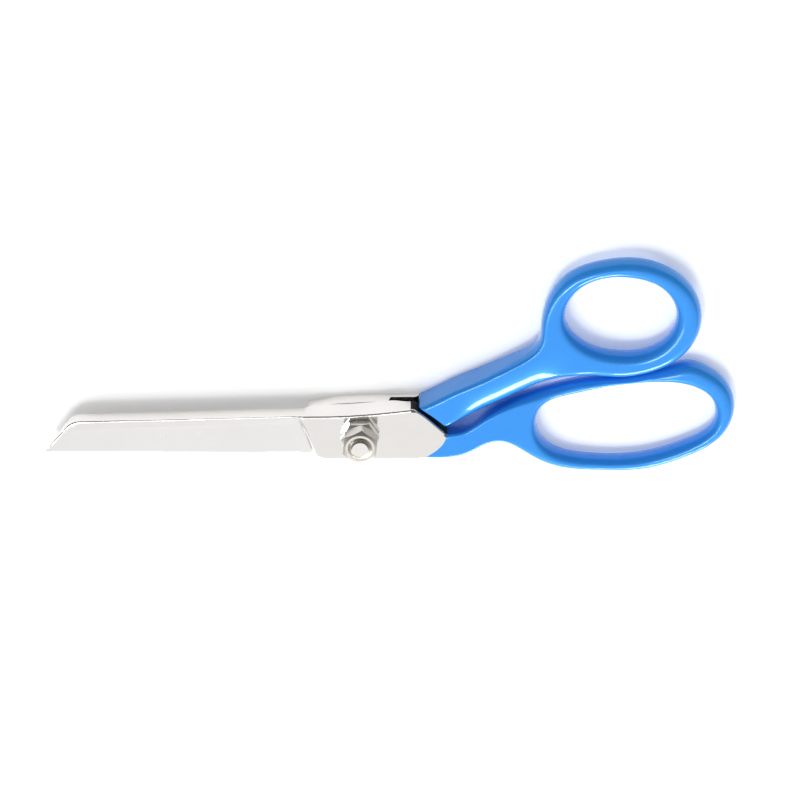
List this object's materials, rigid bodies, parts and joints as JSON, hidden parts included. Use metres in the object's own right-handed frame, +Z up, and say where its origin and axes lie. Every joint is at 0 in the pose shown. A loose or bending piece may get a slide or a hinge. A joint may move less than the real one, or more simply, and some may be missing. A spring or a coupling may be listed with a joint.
{
  "type": "pinking shears",
  "caption": "Heavy bent-handle fabric shears whose blades meet along arc-shaped zigzag teeth, on a bolted pivot locked by hexagon nuts, with coated thumb and finger bows.",
  "frame": {"origin": "under the middle of the bounding box, on the plane that the shears rest on when they lie on the back of the rear half", "axes": "+X from the blade tips to the handles, +Y towards the thumb bow, +Z up from the resting face, along the pivot"},
  "size_m": [0.2298, 0.0812, 0.0226],
  "materials": {
    "nickel_plate": "polished nickel plate",
    "ground_steel": "fine ground",
    "blue_enamel": "glossy enamel",
    "pin_steel": "plain",
    "bolt_steel": "turned, nickel plated",
    "nut_plate": "nickel plated",
    "bronze": "turned"
  },
  "bodies": {
    "front_half": {"front_frame": "nickel_plate", "front_toothed_blade": "ground_steel", "finger_handle": "blue_enamel", "finger_tang_pins": "pin_steel", "pivot_bolt": "bolt_steel", "adjusting_nut": "nut_plate", "lock_nut": "nut_plate", "friction_washer": "bronze"},
    "rear_half": {"rear_frame": "nickel_plate", "rear_toothed_blade": "ground_steel", "thumb_handle": "blue_enamel", "thumb_tang_pins": "pin_steel", "pivot_bushing": "bronze"}
  },
  "joints": [
    {"name": "pivot", "type": "hinge", "parent": "front_half", "child": "rear_half", "pos_m": [-0.01016, -0.02292, 0.006], "axis": [0, 0, 1], "range_deg": [0, 35]}
  ]
}
